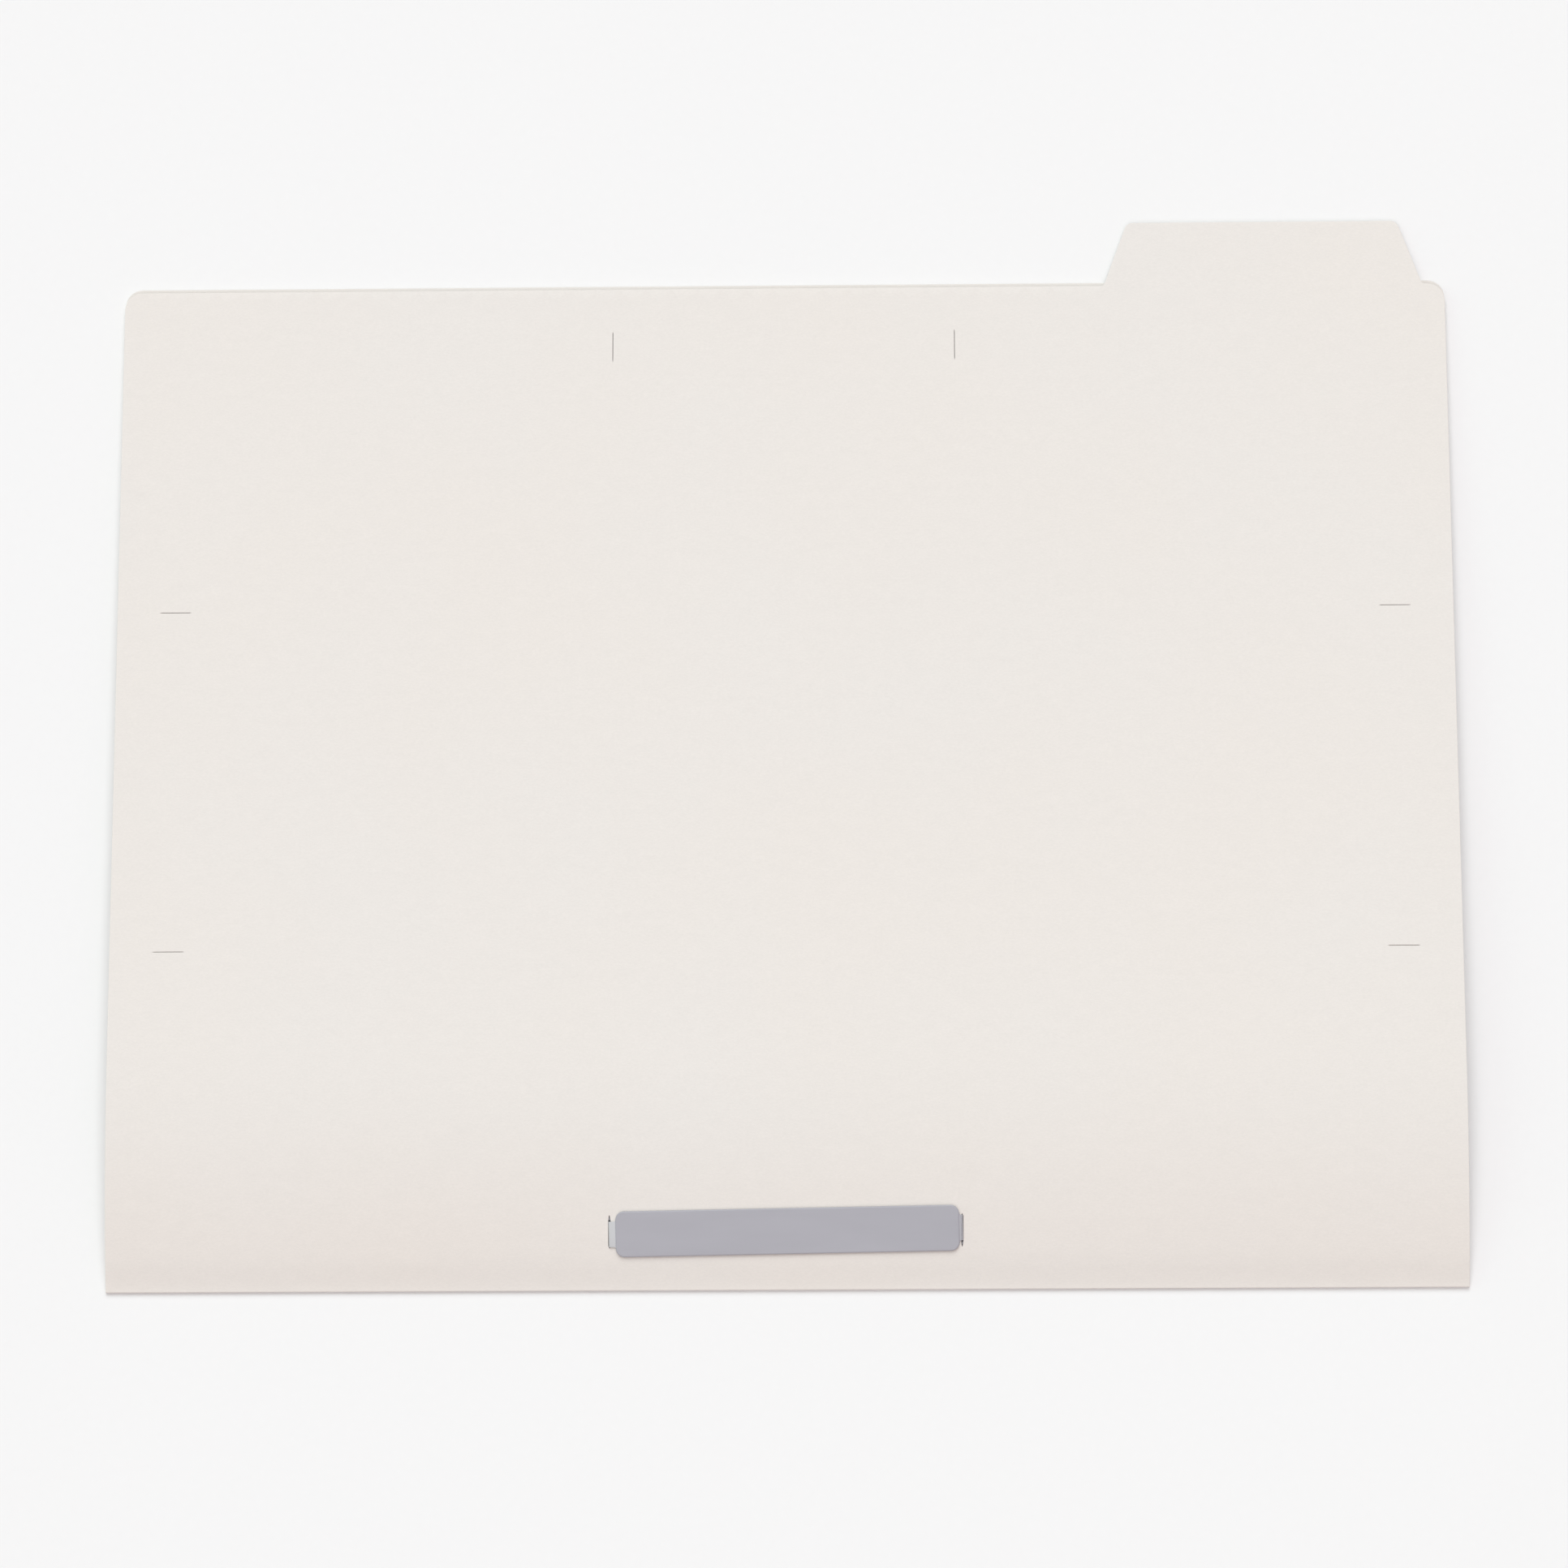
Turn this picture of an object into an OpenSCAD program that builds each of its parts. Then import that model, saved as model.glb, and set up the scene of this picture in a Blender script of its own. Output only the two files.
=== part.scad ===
// Tabbed file folder with a two-prong paper fastener.
// One card sheet is folded along its bottom edge.  The folder lies closed on its front panel,
// with the back panel and its tab on top.  A plastic fastener sits in the slits beside the fold:
// its base plate is outside, and its prongs, retainer bar and two keepers are inside.
// Lengths are in millimetres.  +X runs along the fold, +Y from the fold to the tab, +Z is up.

/* [Folder sheet] */
// Width of the sheet, along the fold
sheet_w = 309.5; // [260:0.5:380]
// Depth of the back panel, from the fold to its top edge
panel_d = 235; // [190:1:300]
// How far the front panel reaches past the back panel's top edge
front_lip = 1; // [0:0.25:3]
// Thickness of the card
card_t = 0.4; // [0.3:0.05:0.5]
// Radius of the two cut corners of each panel
corner_r = 4; // [2:0.5:10]
// Outer radius of the card where it turns at the fold
fold_r = 0.7; // [0.6:0.05:1]

/* [Index tab] */
// Width of the tab where it leaves the panel
tab_base_w = 74.5; // [40:0.5:100]
// Height of the tab above the panel's top edge
tab_h = 15.4; // [8:0.2:20]
// How far each slanted side of the tab leans in
tab_lean = 5.65; // [2:0.05:8]
// Straight edge between the panel's rounded corner and the tab's foot
tab_ledge = 1.2; // [0.8:0.1:20]
// Radius of the tab's two upper corners
tab_r = 2; // [1:0.25:3]
// Radius of the small fillet at each foot of the tab
tab_foot_r = 0.8; // [0.2:0.1:1]

/* [Arch of the back panel] */
// Slope of the back panel where it leaves the fold, in degrees
fold_slope = 14; // [13:0.5:18]
// Radius of the bend beside the fold
arch_r = 190; // [160:5:230]
// Gap between the two panels at the top edge
edge_gap = 0.6; // [0.3:0.1:2]
// Distance past the base plate at which the back panel flexes when it is opened
flex_margin = 2.5; // [2:0.25:6]

/* [Slits] */
// Distance between the two slits of a pair
slit_pitch = 80; // [66:1:96]
// Free length of a slit past each side of the strap that fits it
slit_end_play = 0.85; // [0.8:0.05:2]
// Width of a slit that holds no strap
slit_w = 0.1; // [0.1:0.05:0.5]
// Distance from the top edge to the middle of the upper slits
top_slit_inset = 14; // [10:0.5:20]
// Distance from a side edge to the middle of the side slits
side_slit_inset = 13.5; // [10:0.5:20]

/* [Fastener base] */
// Distance from the fold to the middle of the fastener
fastener_y = 13.1; // [11.5:0.1:20]
// How far the fastener has turned in its slits, in degrees
fastener_turn = 0.87; // [0:0.01:1]
// Width of the base plate, across the fastener
plate_w = 10.4; // [8:0.2:12]
// Thickness of the base plate
plate_t = 0.6; // [0.4:0.05:1.5]
// Corner radius of the base plate
plate_r = 2; // [1:0.25:3.5]
// Length of strap between the end of the base plate and its slit
neck_len = 1; // [0.8:0.1:2]
// How far the base plate sits to the right of the middle of its slits
plate_shift = 0.4; // [0:0.1:0.5]
// Thickness of the two straps that go through the slits
strap_t = 0.4; // [0.3:0.05:0.5]

/* [Prongs] */
// Width of a prong and of its strap
prong_w = 5.8; // [4.5:0.1:7]
// Thickness of a prong
prong_t = 0.45; // [0.35:0.05:0.5]
// Width of a prong at its tip
prong_tip_w = 2.4; // [1.5:0.1:4]
// Length of the tapered end of a prong
prong_taper = 6; // [3:0.5:10]

/* [Retainer bar and keepers] */
// Width of the retainer bar
bar_w = 10; // [10:0.25:12]
// Thickness of the retainer bar
bar_t = 0.7; // [0.6:0.05:0.8]
// How far the bar reaches past each slit
bar_overhang = 8; // [5:0.5:12]
// Corner radius of the bar
bar_r = 2.5; // [1:0.25:4]
// Length of each prong's slot on the side that the prong swings up through
slot_in = 3.4; // [3:0.1:5]
// Length of each prong's slot on its other side
slot_out = 1.2; // [0.6:0.1:2]
// Length of a keeper along the bar
keeper_len = 9; // [6:0.5:12]
// Wall of a keeper
keeper_wall = 0.35; // [0.25:0.05:0.4]
// Space at each end of a keeper when it is unlocked
keeper_space = 1.5; // [1:0.25:3]
// Width of a keeper's lip under the edge of the bar
lip_w = 1.1; // [0.7:0.1:1.3]
// Thickness of a keeper's lip
lip_t = 0.3; // [0.2:0.05:0.35]

/* [Clearances] */
// Radial clearance of the two bends in the card
bend_gap = 0.03; // [0.02:0.01:0.05]
// Clearance between the sliding and folding pieces of the fastener
fit_gap = 0.08; // [0.05:0.01:0.1]
// Play between the retainer bar and the card
bar_play = 0.15; // [0.12:0.01:0.25]
// Clearance of a prong in its slot in the bar, and of a strap in its slit
slot_gap = 0.2; // [0.1:0.05:0.3]

/* [Hidden] */
$fn = 64;
bend_fn = 256;
fillet_steps = 8;
CARD = [0.92, 0.905, 0.885];
GREY = [0.69, 0.69, 0.73];
SIDES = [-1, 1];

// Frame: Y is zero at the middle of the overall depth.
origin_y = -(panel_d + tab_h) / 2;
well_over = 60;                                  // longer than any cut through the sheet

// Arch, in the YZ plane of the sheet with Y zero at the fold.  The bend starts tangent to the
// fold's outer face and ends tangent to the straight part that falls to the top edge.
bend_outer = arch_r + card_t / 2;
bend_c = [fold_r + (bend_outer - fold_r) * sin(fold_slope),
          fold_r - (bend_outer - fold_r) * cos(fold_slope)];
edge_mid = [panel_d, 1.5 * card_t + edge_gap];
to_edge = edge_mid - bend_c;
fall = atan2(to_edge.x, to_edge.y) - acos(arch_r / norm(to_edge));
function slope_at(y) = asin((bend_c.x - y) / arch_r);
function mid_at(y) = bend_c + arch_r * [-sin(slope_at(y)), cos(slope_at(y))];

flex_y = fastener_y + plate_w / 2 + flex_margin;
flex_slope = slope_at(flex_y);

// Levels of the fastener's pieces along the card's normal, zero at the middle of the card.
slit_x = slit_pitch / 2;
plate_l = slit_pitch - 2 * neck_len;
slit_len = prong_w + 2 * slit_end_play;
plate_near = card_t / 2 + fit_gap / 2;
bar_near = -card_t / 2 - bar_play;
bar_far = bar_near - bar_t;
prong_axis = bar_far - fit_gap - prong_t / 2;
roof_near = prong_axis - prong_t / 2 - fit_gap;
roof_far = roof_near - keeper_wall;

// A folded prong stops short of its unlocked keeper.
keeper_x = keeper_space + keeper_len / 2;
prong_len = slit_x - keeper_len - 2 * keeper_space;

// Points of a closed outline whose corners are [x, y, radius], as a list of arcs.
function unit(v) = v / norm(v);
function corner_arc(a, p, b, r) =
    let (u = unit(a - p), v = unit(b - p), half = acos(u * v) / 2,
         centre = p + unit(u + v) * r / sin(half),
         first = p + u * r / tan(half) - centre, last = p + v * r / tan(half) - centre,
         from = atan2(first.y, first.x), turn = atan2(last.y, last.x) - from,
         sweep = turn > 180 ? turn - 360 : turn < -180 ? turn + 360 : turn)
    [for (i = [0:fillet_steps]) centre + r * [cos(from + sweep * i / fillet_steps),
                                              sin(from + sweep * i / fillet_steps)]];
function xy(c) = [c.x, c.y];
function rounded(corners) =
    let (n = len(corners))
    [for (i = [0:n - 1]) let (c = corners[i])
        each c[2] == 0 ? [xy(c)]
                       : corner_arc(xy(corners[(i + n - 1) % n]), xy(c), xy(corners[(i + 1) % n]), c[2])];

// Outline of the back panel seen from above, anticlockwise from the fold's left end.
tab_right = sheet_w / 2 - corner_r - tab_ledge;
tab_left = tab_right - tab_base_w;
tab_top = panel_d + tab_h;
back_outline = [
    [-sheet_w / 2, 0, 0], [sheet_w / 2, 0, 0], [sheet_w / 2, panel_d, corner_r],
    [tab_right, panel_d, tab_foot_r], [tab_right - tab_lean, tab_top, tab_r],
    [tab_left + tab_lean, tab_top, tab_r], [tab_left, panel_d, tab_foot_r],
    [-sheet_w / 2, panel_d, corner_r]];
front_outline = [
    [-sheet_w / 2, fold_r, 0], [sheet_w / 2, fold_r, 0],
    [sheet_w / 2, panel_d + front_lip, corner_r], [-sheet_w / 2, panel_d + front_lip, corner_r]];

module in_frame() { translate([0, origin_y, 0]) children(); }

// Extrudes a YZ section along X, centred.
module along_fold(length) {
    rotate([90, 0, 90]) linear_extrude(height = length, center = true) children();
}

// The bent card between two slopes of the arch, in the YZ plane.
module bend(from, to) {
    reach = 2 * bend_outer;
    translate(bend_c) intersection() {
        difference() {
            circle(r = bend_outer, $fn = bend_fn);
            circle(r = bend_outer - card_t, $fn = bend_fn);
        }
        polygon([[0, 0], reach * [-sin(from), cos(from)], reach * [-sin(to), cos(to)]]);
    }
}

// The straight part of the back panel, from the end of the bend to past the tab.
module straight_band() {
    out = [sin(fall), cos(fall)];
    on = [cos(fall), -sin(fall)];
    start = bend_c + bend_outer * out;
    length = tab_top + well_over - start.x;
    polygon([start, start - card_t * out, start - card_t * out + length * on, start + length * on]);
}

module flex_disc(r) { translate(mid_at(flex_y)) circle(r = r); }

module slit(length, width) { cube([width, length, well_over], center = true); }

// Slit pairs that hold no strap: one pair near the top edge and one near each side edge.
module free_slits() {
    for (side = SIDES) {
        translate([side * slit_x, panel_d - top_slit_inset, 0]) slit(slit_len, slit_w);
        for (end = SIDES)
            translate([side * (sheet_w / 2 - side_slit_inset), panel_d / 2 + end * slit_x, 0])
                rotate([0, 0, 90]) slit(slit_len, slit_w);
    }
}

// Places children on the card at the fastener: X along the fold, Z along the card's normal.
module on_card(turn) {
    translate([0, mid_at(fastener_y).x, mid_at(fastener_y).y])
        rotate([slope_at(fastener_y), 0, 0]) rotate([0, 0, turn]) children();
}

// The front panel, flat on the table.
module front_panel() {
    color(CARD) in_frame() linear_extrude(height = card_t) polygon(rounded(front_outline));
}

// The turn of the card at the fold, from the front panel round to the back panel's slope.
module fold_crease() {
    far = 3 * fold_r;                            // past the crease on every side
    color(CARD) in_frame() along_fold(sheet_w) translate([fold_r, fold_r]) intersection() {
        difference() {
            circle(r = fold_r);
            circle(r = fold_r - card_t);
        }
        polygon([[0, 0], far * [-sin(fold_slope), cos(fold_slope)], [-far, far], [-far, -far], [0, -far]]);
    }
}

// The strip of the back panel beside the fold, which carries the fastener.
module spine_strip() {
    color(CARD) in_frame() difference() {
        along_fold(sheet_w) difference() {
            union() {
                bend(fold_slope, flex_slope);
                flex_disc(card_t / 2);
            }
            translate([fold_r, fold_r]) circle(r = fold_r + bend_gap);
        }
        on_card(0) for (side = SIDES)
            translate([side * slit_x, 0, 0])
                cube([strap_t + slot_gap, slit_len, well_over], center = true);
    }
}

// The rest of the back panel, with the index tab and the free slits.
module back_panel() {
    color(CARD) in_frame() difference() {
        intersection() {
            along_fold(sheet_w) difference() {
                union() {
                    bend(flex_slope, -fall);
                    straight_band();
                }
                flex_disc(card_t / 2 + bend_gap);
            }
            linear_extrude(height = well_over, center = true) polygon(rounded(back_outline));
        }
        free_slits();
    }
}

// Rounded plate in the XY plane, centred.
module plate(length, width, r, thick) {
    x = length / 2;
    y = width / 2;
    linear_extrude(height = thick) polygon(rounded([[-x, -y, r], [x, -y, r], [x, y, r], [-x, y, r]]));
}

// The base plate with its two straps, which go through the slits and end at the prongs' bends.
module fastener_base() {
    neck = neck_len + plate_r;
    color(GREY) in_frame() on_card(fastener_turn) {
        translate([plate_shift, 0, plate_near]) plate(plate_l, plate_w, plate_r, plate_t);
        for (side = SIDES) {
            translate([side * (slit_x + strap_t / 2 - neck / 2), 0, plate_near + strap_t / 2])
                cube([neck, prong_w, strap_t], center = true);
            translate([side * slit_x - strap_t / 2, -prong_w / 2, prong_axis])
                cube([strap_t, prong_w, plate_near + strap_t - prong_axis]);
            translate([side * slit_x, 0, prong_axis]) rotate([90, 0, 0])
                cylinder(r = strap_t / 2, h = prong_w, center = true);
        }
    }
}

// One prong, folded flat towards the middle of the bar.
module prong(side) {
    shoulder = prong_len - prong_taper;
    seat_r = norm([strap_t, prong_t]) / 2 + bend_gap;
    color(GREY) in_frame() on_card(fastener_turn)
        translate([side * slit_x, 0, prong_axis]) mirror([side > 0 ? 1 : 0, 0, 0]) difference() {
            translate([0, 0, -prong_t / 2]) linear_extrude(height = prong_t)
                polygon([[0, -prong_w / 2], [shoulder, -prong_w / 2], [prong_len, -prong_tip_w / 2],
                         [prong_len, prong_tip_w / 2], [shoulder, prong_w / 2], [0, prong_w / 2]]);
            rotate([90, 0, 0])
                cylinder(r = seat_r, h = 2 * prong_w, center = true);
        }
}
module prong_left() { prong(-1); }
module prong_right() { prong(1); }

// The bar that presses the papers down, slotted for the prongs and rebated for the keepers' lips.
module retainer_bar() {
    slot_w = prong_w + 2 * slot_gap;
    color(GREY) in_frame() on_card(fastener_turn) difference() {
        translate([0, 0, bar_far]) plate(slit_pitch + 2 * bar_overhang, bar_w, bar_r, bar_t);
        for (side = SIDES) {
            translate([side * (slit_x + (slot_out - slot_in) / 2), 0, 0])
                cube([slot_in + slot_out, slot_w, well_over], center = true);
            translate([0, side * bar_w / 2, bar_near])
                cube([well_over + slit_pitch, 2 * (lip_w + fit_gap), 2 * (lip_t + fit_gap)], center = true);
        }
    }
}

// One keeper: a sleeve round the bar, open towards the card, that slides over a prong's end.
module keeper(side) {
    inner = bar_w / 2 + fit_gap;
    outer = inner + keeper_wall;
    lip_edge = bar_w / 2 - lip_w;
    color(GREY) in_frame() on_card(fastener_turn)
        translate([side * keeper_x, 0, 0]) along_fold(keeper_len) difference() {
            polygon([[-outer, roof_far], [outer, roof_far], [outer, bar_near], [-outer, bar_near]]);
            polygon([[-inner, roof_near], [inner, roof_near], [inner, bar_near - lip_t],
                     [-inner, bar_near - lip_t]]);
            polygon([[-lip_edge, bar_near - 2 * lip_t], [lip_edge, bar_near - 2 * lip_t],
                     [lip_edge, bar_near + lip_t], [-lip_edge, bar_near + lip_t]]);
        }
}
module keeper_left() { keeper(-1); }
module keeper_right() { keeper(1); }

front_panel();
fold_crease();
spine_strip();
back_panel();
fastener_base();
prong_left();
prong_right();
retainer_bar();
keeper_left();
keeper_right();
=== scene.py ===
"""Looks of a tabbed card folder with a two-prong plastic fastener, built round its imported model.

Lengths in the making of the pieces are millimetres and repeat the part's own sizes.  Every mesh is
written in metres, in the row frame: X along the fold, Y from the fold to the tab, Z up.
"""
import math

import bmesh
import bpy
import numpy as np
from mathutils import Matrix, Vector
from mathutils.geometry import delaunay_2d_cdt


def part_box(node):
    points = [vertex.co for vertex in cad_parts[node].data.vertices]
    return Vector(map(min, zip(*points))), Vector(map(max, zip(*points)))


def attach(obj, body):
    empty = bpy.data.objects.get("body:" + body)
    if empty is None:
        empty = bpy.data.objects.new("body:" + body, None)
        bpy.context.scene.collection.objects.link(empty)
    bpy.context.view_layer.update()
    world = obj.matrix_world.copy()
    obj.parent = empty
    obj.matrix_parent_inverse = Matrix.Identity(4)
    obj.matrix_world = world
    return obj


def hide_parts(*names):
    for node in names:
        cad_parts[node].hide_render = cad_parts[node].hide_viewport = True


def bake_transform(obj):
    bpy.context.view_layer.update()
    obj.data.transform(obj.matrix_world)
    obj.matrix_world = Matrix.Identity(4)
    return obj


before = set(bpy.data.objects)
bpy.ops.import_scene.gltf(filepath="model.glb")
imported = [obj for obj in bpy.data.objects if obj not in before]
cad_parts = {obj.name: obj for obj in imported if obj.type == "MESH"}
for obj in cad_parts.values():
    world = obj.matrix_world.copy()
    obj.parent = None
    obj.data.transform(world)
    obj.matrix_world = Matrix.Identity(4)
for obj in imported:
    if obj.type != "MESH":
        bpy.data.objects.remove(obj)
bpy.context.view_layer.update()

MM = 0.001

# ---------------------------------------------------------------- sizes, as in the part's source
PANEL_D = 235.0
FRONT_LIP = 1.0
CARD_T = 0.4
CORNER_R = 4.0
FOLD_R = 0.7
TAB_BASE_W = 74.5
TAB_H = 15.4
TAB_LEAN = 5.65
TAB_LEDGE = 1.2
TAB_R = 2.0
TAB_FOOT_R = 0.8
FOLD_SLOPE = math.radians(14)
ARCH_R = 190.0
EDGE_GAP = 0.6
SLIT_PITCH = 80.0
SLIT_LEN = 7.5
TOP_SLIT_INSET = 14.0
SIDE_SLIT_INSET = 13.5
FASTENER_Y = 13.1
FASTENER_TURN = math.radians(0.87)
PLATE_W = 10.4
PLATE_T = 0.6
PLATE_R = 2.0
NECK_LEN = 1.0
PLATE_SHIFT = 0.4
STRAP_T = 0.4
PRONG_W = 5.8
PRONG_T = 0.45
PRONG_TIP_W = 2.4
PRONG_TAPER = 6.0
BAR_W = 10.0
BAR_T = 0.7
BAR_OVERHANG = 8.0
BAR_R = 2.5
SLOT_IN = 3.4
SLOT_OUT = 1.2
KEEPER_LEN = 9.0
KEEPER_WALL = 0.35
KEEPER_SPACE = 1.5
LIP_W = 1.1
LIP_T = 0.3
FIT_GAP = 0.08
BAR_PLAY = 0.15
SLOT_GAP = 0.2

# ---------------------------------------------------------------- sizes of the looks only
SEAM_Y = 5.0           # the sheet's two meshes meet here, on the strip that carries the fastener
FLEX_START = 0.6       # a place this far past the base plate, worked out in back_leaf but not used
FLEX_END = 24.8        # and one this far from the fold, likewise unused
PRESS = 0.38           # how much flatter the fold is pressed than the part's round bend
PRESS_END = 7.6        # the back panel is back on the part's shape here
FOLD_SHADE_FULL = 13.2       # the card's painted pink shade is full up to here from the fold
FOLD_SHADE_END = 40.2        # and gone from here on
EDGE_STEPS = 3         # steps in the rounding of a small edge
CUT_SOFT = 0.06        # rounding of the card's cut edges
SLIT_GAPE = 0.065      # half the opening of a free slit
STRAP_ROOM = 0.08      # room on each side of a strap in its slit
SLIT_TIP = 0.03        # half the opening at the ends of such a slit
PLASTIC_SOFT = 0.1     # rounding of the plastic's small edges
PLATE_SOFT = 0.28      # rounding of the base plate's outer edge
STRAP_FLARE = 0.25     # how far each side of a strap widens at the plate
STRAP_CUT = -0.1       # level at which the base's strap ends and the prong's begins, in the slit
STRAP_BEND = 0.3       # radius of the strap where it turns down into its slit
PRONG_BEND = 0.25      # radius of the living hinge
PRONG_TIP_LEN = 1.2    # the prong's rounded tip
RIDGE_PITCH = 1.2      # a keeper's grip ridges
RIDGE_H = 0.11
RIDGE_COUNT = 5
RIDGE_MARGIN = 1.2     # from a ridge's end to the keeper's side
RIDGE_FADE = 0.6       # length over which a ridge's end slopes down
CARD_SUPPORT = 0.25    # how far inside its edges a broad face gets its next loop of points
PLASTIC_SUPPORT = 0.12
SHARP = math.radians(40)    # faces that meet more steeply keep a hard edge

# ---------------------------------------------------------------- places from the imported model
low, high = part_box("front_panel")
SHEET_W = (high.x - low.x) / MM
FOLD_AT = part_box("fold_crease")[0].y / MM       # the fold's outermost line


# ---------------------------------------------------------------- the sheet's profile
BEND_OUT = ARCH_R + CARD_T / 2
BEND_Y = FOLD_R + (BEND_OUT - FOLD_R) * math.sin(FOLD_SLOPE)
BEND_Z = FOLD_R - (BEND_OUT - FOLD_R) * math.cos(FOLD_SLOPE)
EDGE_Z = 1.5 * CARD_T + EDGE_GAP
TO_EDGE = math.hypot(PANEL_D - BEND_Y, EDGE_Z - BEND_Z)
FALL = math.atan2(PANEL_D - BEND_Y, EDGE_Z - BEND_Z) - math.acos(ARCH_R / TO_EDGE)
ARCH_END_Y = BEND_Y + ARCH_R * math.sin(FALL)
CREASE_R = FOLD_R - CARD_T / 2
CREASE_SWEEP = math.pi - FOLD_SLOPE
CREASE_LEN = CREASE_R * CREASE_SWEEP


def slope_at(y):
    """Slope of the back panel above the point y of the plan, falling to the top edge."""
    if y >= ARCH_END_Y:
        return -FALL
    return math.asin((BEND_Y - y) / ARCH_R)


def pressed(y, z):
    """How far the middle of the card, at height z, is pressed down at y from the fold."""
    rise = min(1.0, max(0.0, (z - CARD_T / 2) / (2 * CREASE_R)))
    t = min(1.0, max(0.0, (y - FOLD_R) / (PRESS_END - FOLD_R)))
    return PRESS * rise * (1 - t * t * (3 - 2 * t))


def back_point(x, y, level):
    """A point of the back panel: its plan place, and its level above the middle of the card."""
    a = slope_at(y)
    if y >= ARCH_END_Y:
        z = BEND_Z + ARCH_R * math.cos(FALL) - (y - ARCH_END_Y) * math.tan(FALL)
    else:
        z = BEND_Z + ARCH_R * math.cos(a)
    z -= pressed(y, z)
    return Vector((x, FOLD_AT + y - level * math.sin(a), z + level * math.cos(a))) * MM


def folded_point(x, u, level):
    """A point of the card round the fold: u is zero where the front panel ends, and grows to the back."""
    if u <= 0:
        y, z, ny, nz = FOLD_R - u, CARD_T / 2, 0.0, -1.0
    elif u <= CREASE_LEN:
        a = u / CREASE_R
        b = math.pi * u / CREASE_LEN
        corner = (abs(math.sin(b)) ** 4 + abs(math.cos(b)) ** 4) ** -0.25
        ny, nz = -math.sin(a) * corner, -math.cos(a) * corner
        y, z = FOLD_R + CREASE_R * ny, FOLD_R + CREASE_R * nz
    else:
        a = FOLD_SLOPE - (u - CREASE_LEN) / ARCH_R
        ny, nz = -math.sin(a), math.cos(a)
        y, z = BEND_Y + ARCH_R * ny, BEND_Z + ARCH_R * nz
    z -= pressed(y, z)
    return Vector((x, FOLD_AT + y + level * ny, z + level * nz)) * MM


# The fastener's own frame: X along it, Z along the card's normal, zero at the middle of the card.
FASTENER = (
    Matrix.Translation(back_point(0, FASTENER_Y, 0))
    @ Matrix.Rotation(slope_at(FASTENER_Y), 4, "X")
    @ Matrix.Rotation(FASTENER_TURN, 4, "Z")
)


def on_fastener(x, y, level):
    """A place on the fastener, in millimetres, as a point of the row frame."""
    return FASTENER @ (Vector((x, y, level)) * MM)


# ---------------------------------------------------------------- outlines
def rounded(corners, steps=8):
    """Closed outline whose corners are (x, y, radius)."""
    points = []
    count = len(corners)
    for i, (x, y, r) in enumerate(corners):
        p = Vector((x, y))
        if r == 0:
            points.append(p)
            continue
        u = (Vector(corners[i - 1][:2]) - p).normalized()
        v = (Vector(corners[(i + 1) % count][:2]) - p).normalized()
        half = u.angle(v) / 2
        centre = p + (u + v).normalized() * (r / math.sin(half))
        first = p + u * (r / math.tan(half)) - centre
        last = p + v * (r / math.tan(half)) - centre
        start = math.atan2(first.y, first.x)
        sweep = math.atan2(last.y, last.x) - start
        sweep = (sweep + math.pi) % (2 * math.pi) - math.pi
        for k in range(steps + 1):
            a = start + sweep * k / steps
            points.append(centre + r * Vector((math.cos(a), math.sin(a))))
    return points


def box_outline(x0, x1, y0, y1, r, steps):
    """Rectangle with rounded corners."""
    return rounded([(x0, y0, r), (x1, y0, r), (x1, y1, r), (x0, y1, r)], steps)


def cut_at_rows(loop, rows, longest):
    """The loop with points added where it crosses the rows, and along its long level edges."""
    points = []
    for i, p in enumerate(loop):
        q = loop[(i + 1) % len(loop)]
        points.append(p)
        d = q - p
        if abs(d.y) > 1e-6:
            at = [(r - p.y) / d.y for r in rows]
        else:
            count = int(abs(d.x) / longest)
            at = [k / (count + 1) for k in range(1, count + 1)]
        points += [p + d * t for t in sorted(at) if 1e-3 < t < 1 - 1e-3]
    return points


def inset(loop, d):
    """The loop moved by d to its left, which is into the solid: holes run the other way round."""
    if d == 0:
        return [p.copy() for p in loop]
    moved = []
    for i, p in enumerate(loop):
        a = (p - loop[i - 1]).normalized()
        b = (loop[(i + 1) % len(loop)] - p).normalized()
        n = Vector((-a.y - b.y, a.x + b.x))
        n.normalize()
        reach = max(n.dot(Vector((-a.y, a.x))), 0.3)
        moved.append(p + n * (d / reach))
    return moved


def slit_outline(x, y, length, along_y, gape):
    """Thin hole, run clockwise.  gape(v) is half its opening at v, from -1 at one end to 1."""
    stops = [-1 + k / 8 for k in range(17)]
    side = [(v, gape(v)) for v in stops]
    ring = [(v * length / 2, g) for v, g in side] + [(v * length / 2, -g) for v, g in reversed(side)]
    ring = [p for i, p in enumerate(ring) if p != ring[i - 1]]
    if along_y:
        return [Vector((x + g, y + v)) for v, g in reversed(ring)]
    return [Vector((x + v, y + g)) for v, g in ring]


def soft_wall(bottom, top, r):
    """(inset, level) steps of a wall with both its edges rounded, EDGE_STEPS + 1 of them for each."""
    turn = [math.pi / 2 * k / EDGE_STEPS for k in range(EDGE_STEPS + 1)]
    lower = [(r * (1 - math.sin(a)), bottom + r * (1 - math.cos(a))) for a in turn]
    upper = [(r * (1 - math.cos(a)), top - r * (1 - math.sin(a))) for a in turn]
    return lower + upper


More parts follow.
